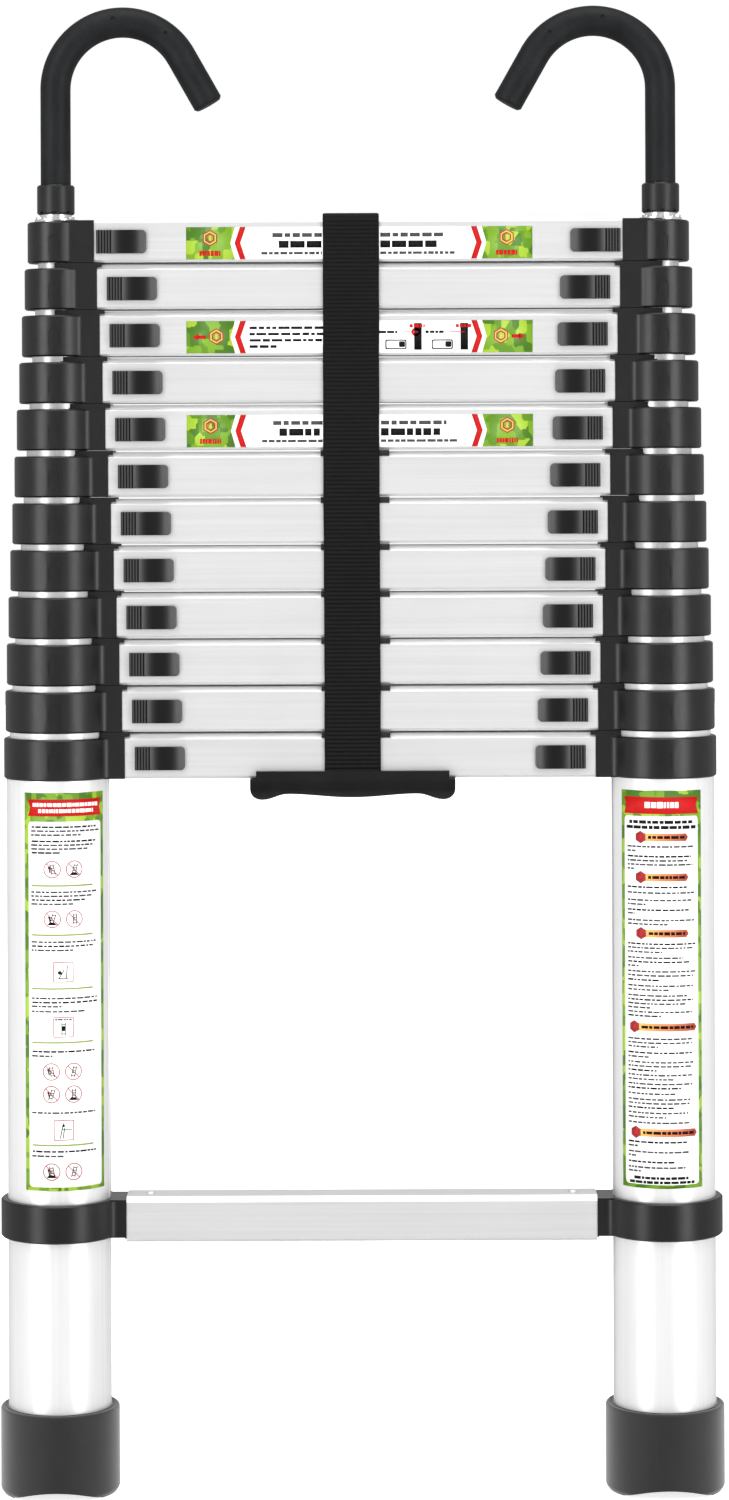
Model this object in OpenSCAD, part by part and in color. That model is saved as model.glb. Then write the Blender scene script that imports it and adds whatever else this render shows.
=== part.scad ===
// Telescoping ladder, stored closed: twelve nested sections, a fixed bottom rung, two swivel hooks.
// Millimetres. +Z up, the climber faces +Y, the origin is on the floor midway between the feet.
// Section 1 is the innermost one at the top, and the last section is the base that stands on the floor.

/* [Rails] */
// Distance between the two tube axes
rail_spacing = 400; // [380:5:440]
// Number of telescoping sections, the base included
sections = 12; // [3:1:12]
// Outer radius of the innermost tube
top_tube_r = 12; // [12:0.5:14]
// How much the outer radius grows from one tube to the next
tube_step = 2; // [2:0.1:2.4]
// Wall thickness of every tube
tube_wall = 1.5; // [1.2:0.1:1.5]
// Length of each moving tube
tube_len = 380; // [370:5:400]
// Distance from one rung to the next on the extended ladder
rung_pitch = 304.8; // [290:0.1:310]
// Distance from one rung to the next on the closed ladder
closed_pitch = 30.9; // [30.8:0.1:32]
// Height of the fixed bottom rung's centre above the floor
bottom_rung_z = 180.5; // [175:0.5:220]

/* [Rungs] */
// Height of the rung extrusion
rung_h = 29.6; // [29:0.1:30]
// Depth of the rung extrusion, front to back
rung_d = 30; // [28:0.5:32]
// Wall thickness of the rung extrusion
rung_wall = 1.5; // [1.2:0.1:1.6]
// Bevel along the rung's top edges
rung_top_bevel = 3.5; // [2:0.1:4]
// Bevel along the rung's bottom edges
rung_low_bevel = 1.6; // [1.5:0.1:2]

/* [Collars] */
// Outer radius of the ring round the innermost tube
top_ring_r = 18.8; // [18:0.1:19.5]
// Outer radius of the ring round the base tube
base_ring_r = 35.6; // [35.5:0.1:38]
// How much fatter the middle rings are than an even taper would make them
ring_bulge = 1.6; // [0:0.1:2]
// Outer radius of the ring of a fixed bottom collar
fixed_ring_r = 38.6; // [37:0.1:39]
// Height of a ring
ring_h = 27; // [25:0.5:27]
// Distance from the tube axis to the rung's end on the innermost section
top_face_x = 26; // [24:0.1:27]
// Distance from the tube axis to the rung's end on the base
base_face_x = 45; // [41:0.1:46]
// Radius of the fillet between a ring and its rung block
collar_fillet = 8; // [3:0.5:8]

/* [Latches] */
// Length of a thumb slide
slide_len = 33; // [30:0.5:34]
// Height of a thumb slide
slide_h = 15.5; // [14:0.5:16]
// Thickness of a thumb slide
slide_t = 3.2; // [2.8:0.1:4]
// Gap from the collar to a thumb slide that is locked
locked_gap = 1.6; // [1:0.1:2]
// Gap from the collar to a thumb slide whose pin rests on the tube inside
parked_gap = 6.8; // [6:0.1:7]
// Travel that a parked thumb slide has left, towards the rung's middle
release_travel = 4; // [2:0.5:4]
// Radius of the lock pin
pin_r = 4; // [3.5:0.1:4]

/* [Hooks] */
// Outer radius of the sleeved hook
hook_r = 10; // [9:0.5:11]
// Radius of the hook's bend, at the tube's centre
hook_bend_r = 44.5; // [40:0.5:50]
// Angle that the bend turns through
hook_bend = 150.5; // [120:0.5:170]
// Length of the straight end after the bend
hook_end = 37; // [25:1:45]
// Height of the bend's centre above the floor
hook_centre_z = 925.3; // [920:0.1:960]

/* [Feet, handle and strap] */
// Outer radius of a foot
foot_r = 39.3; // [37:0.1:41]
// Height of a foot
foot_h = 56.5; // [50:0.5:70]
// Height of the arch under a foot
arch_h = 6.5; // [3:0.5:8]
// Half width of the arch under a foot
arch_half = 29; // [24:0.5:30]
// Distance of the strap and the handle from the ladder's middle
strap_x = -5; // [-10:0.5:10]
// Width of the webbing strap
strap_w = 37; // [30:0.5:45]
// Thickness of the webbing strap
strap_t = 2; // [1.5:0.1:2]
// Length of the carrying grip
grip_len = 135; // [120:1:150]

/* [Hidden] */
$fn = 96;
aluminium = [0.80, 0.81, 0.82];
steel = [0.62, 0.63, 0.65];
black = [0.13, 0.13, 0.14];
rubber = [0.20, 0.20, 0.21];
webbing = [0.08, 0.08, 0.09];

eps = 0.1;               // how far a cutter runs past the face that it cuts
fit = 0.05;              // gap between pieces of one section that never move apart
rung_half_d = rung_d / 2;
rung_half_h = rung_h / 2;
ring_low = -14.8;        // a ring's lower edge, from its rung's centre
ring_high = ring_low + ring_h;
ring_mid = (ring_low + ring_high) / 2;
ring_chamfer = 1;
block_half_d = rung_half_d + 0.8;
block_high = ring_high + 0.8;
plug_half_d = rung_half_d + 0.3;         // the plug fills the gap up to the collar above
plug_high = closed_pitch + ring_low - 0.3;
lip_h = 2.5;             // the collar's lip stands this far above its tube's end
lip_gap = 0.25;          // radial gap between the lip and the tube that slides through it
mark_w = 9.5;            // arch-shaped mark on the front of each ring
mark_h = 11.5;
mark_line = 1.3;
mark_proud = 0.5;
nub = [3.5, 1];          // how far the plug reaches over the rung's bevel, and its thickness there
fixed_low = -11.8;       // lower and upper edges of the fixed rung's collars, from its centre
fixed_high = 13.1;

spigot_len = 50;         // the part of a collar that plugs the rung
spigot_gap = 0.25;
bore_start = 9;          // where the carrier's bore begins inside the spigot
bore_end = 47.2;
carrier_r = 5.6;
carrier_bore_r = 6;
carrier_from = 8;        // places along a thumb slide, from its outer end
carrier_to = 24;
leg_from = 12;
leg_to = 20;
leg_half_h = 3.5;
tail_r = 2.5;
tail_to = 28;
spring_r = 4.8;
spring_to = 36;
pin_gap = 0.2;           // radial gap round the lock pin
pin_rest_gap = 0.2;      // gap between a parked pin's tip and the tube inside
hole_r = pin_r + 0.5;    // the pin's holes in the tubes
rib_count = 5;
rib_pitch = 1.9;
rib_h = 0.8;
slide_pad = 1;            // height of the pad above the plate
slide_dish = 0.8;         // depth of the hollow in the pad
slide_nose = 2.6;         // radius of the pad's inner end
slide_edge = 1.2;         // radius of the plate's long edges
slide_corner = 3;
slide_gap = 0.3;         // gap between the thumb slide and the rung's face

stem_r = 8;
socket_bore_r = 8.15;
socket_depth = 36;
flange_r = 14;
flange_h = 2;
neck_r = 10.6;
thread_r = 9.5;
nut_r = 12.4;
nut_h = 19.5;
nut_low_z = 842.6;
nut_gap = 0.3;
groove_r = 6.5;
groove_half_h = 4.5;
pit_r = 1.3;             // vent pits in the hook's sleeve
pit_depth = 1.2;
sleeve_cap = 3;          // thickness of the sleeve's closed end

sole_t = 12;             // the foot's floor, where the tube stands
foot_edge = 4;           // radius of the rounding round the sole
foot_rim = 2;
grip_rim = 4.9;          // how far the grip's rim reaches up the rung
rivet_x = 139.5;
rivet_r = 2;
rivet_head_r = 3.2;

top_section = 1;
base = sections;
moving = base - 1;

function share(k) = (k - 1) / (sections - 1);
function mix(a, b, t) = a + (b - a) * t;
function tube_r(k) = top_tube_r + (k - 1) * tube_step;
function ring_r(k) =
    mix(top_ring_r, base_ring_r, share(k)) + 4 * ring_bulge * share(k) * (1 - share(k));
function face_x(k) = mix(top_face_x, base_face_x, share(k));
function rung_z(k) = bottom_rung_z + rung_pitch + (base - k) * closed_pitch;
function two(k) = str(k < 10 ? "0" : "", k);
// the rung's cross-section in Y and Z, drawn in by inset
function rung_outline(inset) =
    let (y = rung_half_d - inset,
         z = rung_half_h - inset,
         top = rung_top_bevel - inset * (2 - sqrt(2)),
         low = rung_low_bevel - inset * (2 - sqrt(2)))
    [[-y, -z + low], [-y + low, -z], [y - low, -z], [y, -z + low],
     [y, z - top], [y - top, z], [-y + top, z], [-y, z - top]];

// ---- places ----

// Draws its children at the left rail, at height z, with +X from the tube's axis to the rungs' middle.
module at_left(z) {
    translate([-rail_spacing / 2, 0, z]) children();
}

module at_right(z) {
    mirror([1, 0, 0]) at_left(z) children();
}

module at_both(z) {
    at_left(z) children();
    at_right(z) children();
}

// A cylinder along +X from x0 to x1.
module bar_x(x0, x1, r, z = 0) {
    translate([x0, 0, z]) rotate([0, 90, 0]) cylinder(h = x1 - x0, r = r);
}

// A box between two corners.
module box(low, high) {
    translate(low) cube(high - low);
}

// The rung's outline drawn in by inset, from x0 to x1.
module rung_bar(x0, x1, inset) {
    translate([x0, 0, 0])
        rotate([90, 0, 90])
            linear_extrude(x1 - x0) polygon(rung_outline(inset));
}

// ---- tubes and rungs ----

// A tube of section k from z0 to z1, measured from its rung's centre, with the lock pin's way through.
module tube(k, z0, z1) {
    difference() {
        translate([0, 0, z0]) cylinder(h = z1 - z0, r = tube_r(k));
        translate([0, 0, z0 - eps]) cylinder(h = z1 - z0 + 2 * eps, r = tube_r(k) - tube_wall);
        bar_x(tube_r(k) - 2 * tube_wall, tube_r(k) + eps, hole_r, ring_mid);
        children();
    }
}

// A moving tube also has the hole near its lower end that the pin of the section below locks into.
module moving_tube(k) {
    top = ring_high - lip_h;
    lock_z = ring_mid - rung_pitch;
    tube(k, top - tube_len, top)
        bar_x(tube_r(k) - 2 * tube_wall, tube_r(k) + eps, hole_r, lock_z);
}

// The hollow rung of section k, slotted at both ends for the thumb slides' legs.
module rung(k) {
    half = rail_spacing / 2 - face_x(k) - fit;
    translate([0, 0, rung_z(k)])
        difference() {
            rung_bar(-half, half, 0);
            rung_bar(-half - eps, half + eps, rung_wall);
            for (side = [-1, 1])
                scale([side, 1, 1]) rung_slot(k);
        }
}

// The slot in the rung's front wall for the right-hand leg, in the rung's own frame.
module rung_slot(k) {
    end = rail_spacing / 2 - face_x(k);
    mirror([1, 0, 0])
        box([-end + slot_from() - 0.3, -rung_half_d - eps, ring_mid - leg_half_h - 0.7],
            [-end + slot_to() + 0.3, -rung_half_d + rung_wall + eps, ring_mid + leg_half_h + 0.7]);
}

function slot_from() = locked_gap + leg_from - 0.5;
function slot_to() = parked_gap + leg_to + release_travel + 0.5;

// The base tubes run down to the soles of the feet.
module tubes_and_rung(k) {
    color(aluminium) {
        at_both(rung_z(k))
            if (k == base) tube(k, sole_t + fit - rung_z(k), ring_high - lip_h);
            else moving_tube(k);
        rung(k);
    }
}

// ---- collars ----

// A ring with chamfered edges round a bore, from z0 to z1.
module ring(r, z0, z1) {
    rotate_extrude()
        polygon([[0, z0], [r - ring_chamfer, z0], [r, z0 + ring_chamfer],
                 [r, z1 - ring_chamfer], [r - ring_chamfer, z1], [0, z1]]);
}

// The concave fillet between a ring and the front face of its rung block.
module fillet(r, z0, z1) {
    reach = block_half_d + collar_fillet;
    x = sqrt(pow(r + collar_fillet, 2) - pow(reach, 2));
    translate([0, 0, z0])
        linear_extrude(z1 - z0)
            difference() {
                polygon([[0, 0], [x, -reach], [x, 0]]);
                translate([x, -reach]) circle(r = collar_fillet);
            }
}

// The arch-shaped mark that stands a little proud of the ring's front.
module arch_mark(r) {
    intersection() {
        translate([0, 0, ring_low]) cylinder(h = ring_h, r = r + mark_proud);
        translate([0, 0, ring_mid - mark_h / 2])
            rotate([90, 0, 0])
                linear_extrude(r + 1)
                    difference() {
                        arch_shape(mark_w / 2, mark_h);
                        translate([0, -eps]) arch_shape(mark_w / 2 - mark_line, mark_h - mark_line);
                    }
    }
}

module arch_shape(half, high) {
    translate([0, high - half]) circle(r = half);
    translate([-half, 0]) square([2 * half, high - half]);
}

// Ring of radius r, rung block and spigot of one left collar, solid, from z0 to z1.
// The block's top may stand higher, at block_z1.
module collar_solid(k, r, z0, z1, block_z1) {
    ring(r, z0, z1);
    for (side = [0, 1])
        mirror([0, side, 0]) fillet(r, z0 + ring_chamfer, z1 - ring_chamfer);
    box([0, -block_half_d, z0], [face_x(k), block_half_d, block_z1]);
    rung_bar(face_x(k) - 1, face_x(k) + spigot_len, rung_wall + spigot_gap);
}

// The plug on a block's top, with a nub over each of the rung's upper bevels.
module plug(k) {
    x = face_x(k);
    box([0, -plug_half_d, block_high - eps], [x, plug_half_d, plug_high]);
    for (side = [0, 1])
        mirror([0, side, 0])
            box([x - 1, -plug_half_d, block_high], [x + nub[0], nub[1] - plug_half_d, plug_high]);
}

// A telescoping collar: its tube ends under a lip that guides the next tube; the pin runs through its block.
module collar(k) {
    lip_r = k == top_section ? neck_r + lip_gap : tube_r(k) - tube_step + lip_gap;
    difference() {
        union() {
            collar_solid(k, ring_r(k), ring_low, ring_high, block_high);
            if (k != top_section) plug(k);
            arch_mark(ring_r(k));
        }
        translate([0, 0, ring_low - eps])
            cylinder(h = ring_h - lip_h + fit + eps, r = tube_r(k) + fit);
        translate([0, 0, ring_low]) cylinder(h = ring_h + 5, r = lip_r);
        if (k == top_section) translate([0, 0, ring_high]) cylinder(h = 5, r = flange_r + 0.3);
        bar_x(tube_r(k) - tube_wall, face_x(k) + bore_start + eps, pin_r + pin_gap, ring_mid);
        bar_x(face_x(k) + bore_start, face_x(k) + bore_end, carrier_bore_r, ring_mid);
        box([face_x(k) + slot_from(), -rung_half_d, ring_mid - leg_half_h - 0.3],
            [face_x(k) + slot_to(), 0, ring_mid + leg_half_h + 0.3]);
    }
}

module collars(k) {
    color(black) at_both(rung_z(k)) collar(k);
}

// The collars of the fixed bottom rung have no lip, no mark and no latch.
module bottom_collars() {
    color(black)
        at_both(bottom_rung_z)
            difference() {
                collar_solid(base, fixed_ring_r, fixed_low, fixed_high, fixed_high);
                translate([0, 0, -rung_h]) cylinder(h = 2 * rung_h, r = tube_r(base) + fit);
                rivet_hole(rivet_r + fit);
            }
}

// The fixed rung, with the blind rivets that hold it to its collars.
module bottom_rung() {
    half = rail_spacing / 2 - base_face_x - fit;
    color(aluminium) {
        translate([0, 0, bottom_rung_z])
            difference() {
                rung_bar(-half, half, 0);
                rung_bar(-half - eps, half + eps, rung_wall);
                for (side = [0, 1])
                    mirror([side, 0, 0]) translate([-rail_spacing / 2, 0, 0]) rivet_hole(rivet_r + fit);
            }
        at_both(bottom_rung_z) translate([rail_spacing / 2 - rivet_x, 0, 0]) rivet();
    }
}

// Cutter for one rivet, in the left rail's frame.
module rivet_hole(r) {
    translate([rail_spacing / 2 - rivet_x, 0, 6]) cylinder(h = rung_half_h, r = r);
}

module rivet() {
    translate([0, 0, 7]) cylinder(h = rung_half_h - 7 + fit, r = rivet_r);
    translate([0, 0, rung_half_h + fit]) cylinder(h = 1.2, r1 = rivet_head_r, r2 = rivet_head_r - 1);
}

// ---- latches ----

function latch_gap(k) = k == top_section ? locked_gap : parked_gap;
function pin_tip(k) = k == top_section ? groove_r + pin_rest_gap : tube_r(k - 1) + pin_rest_gap;

// A rectangle from x0 to x1 whose two corners on the +X side are rounded.
module slide_outline(x0, x1, half, r) {
    polygon(concat([[x0, half], [x0, -half]],
                   [for (a = [-90 : 15 : 0]) [x1 - r + r * cos(a), -half + r + r * sin(a)]],
                   [for (a = [0 : 15 : 90]) [x1 - r + r * cos(a), half - r + r * sin(a)]]));
}

// Side view of the thumb plate: ribs at its outer end, then a dished pad with a round inner end.
module slide_profile() {
    pad_from = rib_count * rib_pitch + 0.6;
    pad_to = slide_len - slide_nose;
    dish_half = (pad_to - pad_from) / 2 - 0.6;
    dish_r = (dish_half * dish_half + slide_dish * slide_dish) / (2 * slide_dish);
    translate([-1, -1]) square([pad_to + 1, slide_t - slide_pad + 1]);
    for (i = [0 : rib_count - 1])
        translate([0.4 + i * rib_pitch, 0]) square([rib_pitch / 2, slide_t - slide_pad + rib_h]);
    difference() {
        translate([pad_from, 0]) square([pad_to - pad_from, slide_t]);
        translate([(pad_from + pad_to) / 2, slide_t - slide_dish + dish_r]) circle(r = dish_r, $fn = 240);
    }
    translate([pad_to, slide_t - slide_nose]) circle(r = slide_nose);
    translate([pad_to - 1, -1]) square([slide_nose + 1, slide_t - slide_nose + 1]);
}

// End view of the thumb plate, with rounded long edges.
module slide_section() {
    half = slide_h / 2;
    translate([-half, -1]) square([slide_h, slide_t - slide_edge + 1]);
    translate([-half + slide_edge, 0]) square([slide_h - 2 * slide_edge, slide_t]);
    for (side = [-1, 1])
        translate([side * (half - slide_edge), slide_t - slide_edge]) circle(r = slide_edge);
}

// The plate that the thumb pushes.
module thumb_plate() {
    half = slide_h / 2;
    translate([0, -rung_half_d - slide_gap, 0])
        rotate([90, 0, 0])
            intersection() {
                linear_extrude(slide_t) slide_outline(0, slide_len, half, slide_corner);
                translate([0, half + 1, 0])
                    rotate([90, 0, 0])
                        linear_extrude(slide_h + 2) slide_profile();
                translate([-1, 0, 0])
                    rotate([90, 0, 90])
                        linear_extrude(slide_len + 2) slide_section();
            }
}

// Thumb slide, steel lock pin and spring of one left latch, in the left rail's frame.
module latch(k) {
    start = face_x(k) + latch_gap(k);
    translate([start, 0, ring_mid]) {
        color(black)
            difference() {
                union() {
                    thumb_plate();
                    box([leg_from, -rung_half_d - slide_gap - 1, -leg_half_h], [leg_to, -3, leg_half_h]);
                    bar_x(carrier_from, carrier_to, carrier_r);
                }
                bar_x(carrier_from - eps, carrier_to + eps, tail_r + fit);
            }
        color(steel) {
            bar_x(pin_tip(k) - start, carrier_from - fit, pin_r);
            bar_x(carrier_from - 1, tail_to, tail_r);
            difference() {
                bar_x(carrier_to + fit, spring_to, spring_r);
                bar_x(carrier_to, spring_to + eps, tail_r + 2 * fit);
            }
        }
    }
}

// ---- feet ----

module foot() {
    arch_r = (arch_half * arch_half + arch_h * arch_h) / (2 * arch_h);
    difference() {
        rotate_extrude() foot_profile();
        translate([0, 0, sole_t]) cylinder(h = foot_h, r = tube_r(base) + fit);
        translate([0, foot_r + 1, arch_h - arch_r])
            rotate([90, 0, 0])
                cylinder(h = 2 * foot_r + 2, r = arch_r);
    }
}

// Half of the foot's cross-section, rounded round the sole and at the rim.
module foot_profile() {
    square([foot_r - foot_edge, foot_h]);
    translate([0, foot_edge]) square([foot_r, foot_h - foot_edge - foot_rim]);
    translate([foot_r - foot_edge, foot_edge]) circle(r = foot_edge);
    translate([foot_r - foot_rim, foot_h - foot_rim]) circle(r = foot_rim);
    square([foot_r - foot_rim, foot_h - foot_rim]);
}

module rubber_feet() {
    color(rubber) at_both(0) foot();
}

// ---- hooks ----

// The hook's line swept with a round section, from height z0 and up round the bend. A bore makes it a tube.
// The straight lengths are a hair thinner than the bend and run a little way into it.
module hook_sweep(r, bore, z0, end) {
    hair = 0.02;
    into = 0.5;
    straight_bore = bore > 0 ? bore + hair : 0;
    translate([0, 0, z0])
        linear_extrude(hook_centre_z - z0 + into) hook_section(r - hair, straight_bore);
    translate([hook_bend_r, 0, hook_centre_z])
        rotate([90, 0, 0])
            rotate([0, 0, 180 - hook_bend])
                rotate_extrude(angle = hook_bend)
                    translate([hook_bend_r, 0]) hook_section(r, bore);
    at_hook_end()
        translate([0, 0, -end]) linear_extrude(end + into) hook_section(r - hair, straight_bore);
}

module hook_section(r, bore) {
    difference() {
        circle(r = r);
        if (bore > 0) circle(r = bore);
    }
}

// Places its children where the bend ends, with -Z along the hook's straight end.
module at_hook_end() {
    translate([hook_bend_r, 0, hook_centre_z])
        rotate([0, hook_bend - 180, 0])
            translate([hook_bend_r, 0, 0]) children();
}

// The steel rod, grooved near its foot for the lock pin.
module hook_stem() {
    groove_z = rung_z(1) + ring_mid - groove_half_h;
    foot_z = rung_z(1) - socket_depth + 4;
    color(steel) {
        translate([0, 0, foot_z]) cylinder(h = groove_z - foot_z, r = stem_r - fit);
        translate([0, 0, groove_z]) cylinder(h = 2 * groove_half_h, r = groove_r);
        hook_sweep(stem_r - fit, 0, groove_z + 2 * groove_half_h, hook_end - sleeve_cap);
    }
}

// The sleeve over the rod, closed and chamfered at its free end, with two vent pits in its front.
module hook_sleeve() {
    color(black)
        difference() {
            union() {
                hook_sweep(hook_r, stem_r, nut_low_z + nut_h + nut_gap, hook_end - sleeve_cap + fit);
                at_hook_end() {
                    translate([0, 0, 1.5 - hook_end]) cylinder(h = sleeve_cap - fit - 1.5, r = hook_r);
                    translate([0, 0, -hook_end]) cylinder(h = 1.5, r1 = hook_r - 1.5, r2 = hook_r);
                }
            }
            for (angle = [-7.5, 38.5])
                translate([hook_bend_r, 0, hook_centre_z])
                    rotate([0, angle, 0])
                        translate([0, 0, hook_bend_r + 2])
                            rotate([90, 0, 0])
                                translate([0, 0, hook_r - pit_depth]) cylinder(h = 3, r = pit_r);
        }
}

// The screwed collar that clamps a hook to its socket, notched round its lower rim.
module hook_nut() {
    notches = 8;
    color(black)
        translate([0, 0, nut_low_z])
            difference() {
                ring(nut_r, 0, nut_h);
                translate([0, 0, -eps]) cylinder(h = nut_h + 2 * eps, r = stem_r + nut_gap);
                translate([0, 0, -eps]) cylinder(h = nut_h - 5, r = thread_r + nut_gap);
                for (i = [0 : notches - 1])
                    rotate([0, 0, i * 360 / notches])
                        box([nut_r - 1.6, -1.5, -eps], [nut_r + 1, 1.5, 1.8]);
            }
}

// The bright socket in the top of the innermost tube: plug, flange with lugs, neck and thread.
module hook_socket() {
    top = rung_z(1) + ring_high;
    low = rung_z(1) - socket_depth;
    lug = [2.4, 3, 1.4];
    color(aluminium)
        difference() {
            union() {
                translate([0, 0, low]) cylinder(h = top - low, r = top_tube_r - tube_wall - fit);
                translate([0, 0, top + fit]) cylinder(h = flange_h, r = flange_r);
                translate([0, 0, top - lip_h + fit])
                    cylinder(h = nut_low_z - nut_gap - top + lip_h, r = neck_r);
                translate([0, 0, top]) cylinder(h = nut_low_z - top + nut_h - 7, r = thread_r);
                for (i = [0 : 5])
                    rotate([0, 0, 30 + i * 60])
                        translate([flange_r - lug[0], -lug[1] / 2, top + fit + flange_h - eps]) cube(lug);
            }
            translate([0, 0, low - eps]) cylinder(h = nut_low_z + nut_h - low, r = socket_bore_r);
            bar_x(0, top_tube_r, hole_r, rung_z(1) + ring_mid);
        }
}

// ---- handle and strap ----

// Height of the grip's lower edge from the rung's underside, at a distance x from the grip's middle.
function grip_edge(x) =
    let (valley = 43, lobe = 59.5, u = abs(x))
    u < valley ? mix(-10.3, -12.9, (1 + cos(180 * u / valley)) / 2)
               : mix(-10.3, -14.6, (1 - cos(180 * min(1, (u - valley) / (lobe - valley)))) / 2);

// Half of the grip's side view, from its middle to its rounded end, in X and Z.
function grip_side() =
    let (half = grip_len / 2, r = 7.5)
    concat([for (x = [0 : 3 : half - r - 1]) [x, grip_edge(x)]],
           [for (a = [-90 : 15 : 0]) [half - r + r * cos(a), -14.6 + r + r * sin(a)]],
           [[half, -0.3], [half - 4, -0.3], [half - 4, grip_rim], [0, grip_rim]]);

module carry_handle() {
    half = grip_len / 2;
    slot = strap_t + 1;     // room for the strap between rung and rim
    deep = rung_half_d + slot + 2;
    color(black)
        translate([strap_x, 0, rung_z(base) - rung_half_h])
            difference() {
                intersection() {
                    for (side = [0, 1])
                        mirror([side, 0, 0])
                            translate([0, deep, 0])
                                rotate([90, 0, 0]) linear_extrude(2 * deep) polygon(grip_side());
                    rotate([90, 0, 90])
                        linear_extrude(grip_len + 2, center = true)
                            polygon([[-deep, grip_rim + 1], [-deep, -4], [-deep + 2, -8], [-deep + 6, -12],
                                     [-deep + 11, -15], [deep - 11, -15], [deep - 6, -12],
                                     [deep - 2, -8], [deep, -4], [deep, grip_rim + 1]]);
                }
                // the channel that takes the rung's lower edge, with the strap's slots in front and behind
                box([-half, -rung_half_d - 0.1, -0.1], [half, rung_half_d + 0.1, grip_rim + 1]);
                box([-strap_w / 2 - 1, -rung_half_d - slot, -3],
                    [strap_w / 2 + 1, rung_half_d + slot, grip_rim + 1]);
            }
}

// An inverted U of webbing over the closed pack, tucked into the handle at both ends.
module strap() {
    inner = rung_half_d + 0.5;
    outer = inner + strap_t;
    top = rung_z(1) + rung_half_h + 0.5;
    low = rung_z(base) - rung_half_h - 2;
    bend = 4;
    inner_bend = 2;
    color(webbing)
        translate([strap_x - strap_w / 2, 0, 0])
            rotate([90, 0, 90])
                linear_extrude(strap_w)
                    polygon([[-outer, low], [-outer, top + strap_t - bend], [-outer + bend, top + strap_t],
                             [outer - bend, top + strap_t], [outer, top + strap_t - bend], [outer, low],
                             [inner, low], [inner, top - inner_bend], [inner - inner_bend, top],
                             [-inner + inner_bend, top], [-inner, top - inner_bend], [-inner, low]]);
}

// ---- what is drawn ----

for (k = [1 : base]) {
    tubes_and_rung(k);
    collars(k);
    at_left(rung_z(k)) latch(k);
    at_right(rung_z(k)) latch(k);
}
bottom_rung();
bottom_collars();
rubber_feet();
at_left(0) hook_stem();  // hook_stem_left
at_right(0) hook_stem();  // hook_stem_right
at_left(0) hook_sleeve();  // hook_sleeve_left
at_right(0) hook_sleeve();  // hook_sleeve_right
at_left(0) hook_nut();  // hook_nut_left
at_right(0) hook_nut();  // hook_nut_right
at_both(0) hook_socket();  // hook_sockets
carry_handle();
strap();
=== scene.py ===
"""Looks of the telescoping ladder: materials, labels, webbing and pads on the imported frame."""

import math
import random

import bmesh
import bpy
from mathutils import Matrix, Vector


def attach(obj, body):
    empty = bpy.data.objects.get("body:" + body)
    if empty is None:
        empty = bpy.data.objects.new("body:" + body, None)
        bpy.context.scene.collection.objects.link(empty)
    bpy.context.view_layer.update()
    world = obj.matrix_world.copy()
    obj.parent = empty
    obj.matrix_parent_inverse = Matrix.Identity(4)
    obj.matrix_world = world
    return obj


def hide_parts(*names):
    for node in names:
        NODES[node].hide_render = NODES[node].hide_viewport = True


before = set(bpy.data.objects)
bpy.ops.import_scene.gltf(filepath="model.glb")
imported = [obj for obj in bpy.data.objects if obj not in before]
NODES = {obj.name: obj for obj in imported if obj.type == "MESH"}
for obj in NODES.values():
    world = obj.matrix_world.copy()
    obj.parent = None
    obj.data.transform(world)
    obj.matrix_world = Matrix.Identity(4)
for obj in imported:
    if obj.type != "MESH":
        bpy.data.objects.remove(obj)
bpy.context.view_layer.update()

MM = 0.001

# ---- the ladder's own dimensions, in millimetres ----

RAIL_X = 200.0
SECTIONS = 12
CLOSED_PITCH = 30.9
BASE_RUNG_Z = 485.3
RUNG_HALF_D = 15.0
RUNG_HALF_H = 14.8
BASE_TUBE_R = 34.0


def tube_r(k):
    return 12.0 + 2.0 * (k - 1)


def rung_z(k):
    return BASE_RUNG_Z + (SECTIONS - k) * CLOSED_PITCH


def section_body(k):
    return "base" if k == SECTIONS else "section_%02d" % k


# ---- making objects ----


def placed(name, data):
    """A new object in the scene."""
    o = bpy.data.objects.new(name, data)
    bpy.context.scene.collection.objects.link(o)
    return o


def baked(name, mesh):
    """Mesh data from a bmesh, which is freed."""
    data = bpy.data.meshes.new(name)
    mesh.to_mesh(data)
    mesh.free()
    return data


def finished(name, mesh, body, materials):
    """A new piece that rides on a body and stands in a material slot."""
    o = placed(name, mesh)
    for made in materials:
        mesh.materials.append(made)
    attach(o, body)
    return o


def round_edges(o, width, angle, miter="MITER_ARC"):
    """Rounds the edges sharper than angle, in degrees, by a width in millimetres."""
    edges = o.modifiers.new("rounded_edges", "BEVEL")
    edges.width = width * MM
    edges.segments = 2
    edges.limit_method = "ANGLE"
    edges.angle_limit = math.radians(angle)
    edges.use_clamp_overlap = True
    edges.harden_normals = True
    edges.miter_outer = miter


# ---- shader nodes ----


def link(tree, source, target):
    tree.links.new(source, target)


def node(tree, kind, **values):
    made = tree.nodes.new(kind)
    for key, value in values.items():
        if key in made.inputs:
            made.inputs[key].default_value = value
        else:
            setattr(made, key, value)
    return made


def surface(name, **constants):
    """A Principled material with these constant sockets: (material, tree, shader)."""
    made = bpy.data.materials.new(name)
    made.use_nodes = True
    tree = made.node_tree
    shader = tree.nodes["Principled BSDF"]
    for key, value in constants.items():
        shader.inputs[key.replace("_", " ")].default_value = value
    return made, tree, shader


def mapped(tree, stretch, source="Object"):
    """Object coordinates, in metres, multiplied by stretch along each axis."""
    place = node(tree, "ShaderNodeTexCoord")
    scaled = node(tree, "ShaderNodeMapping")
    scaled.inputs["Scale"].default_value = stretch
    link(tree, place.outputs[source], scaled.inputs["Vector"])
    return scaled.outputs["Vector"]


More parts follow.
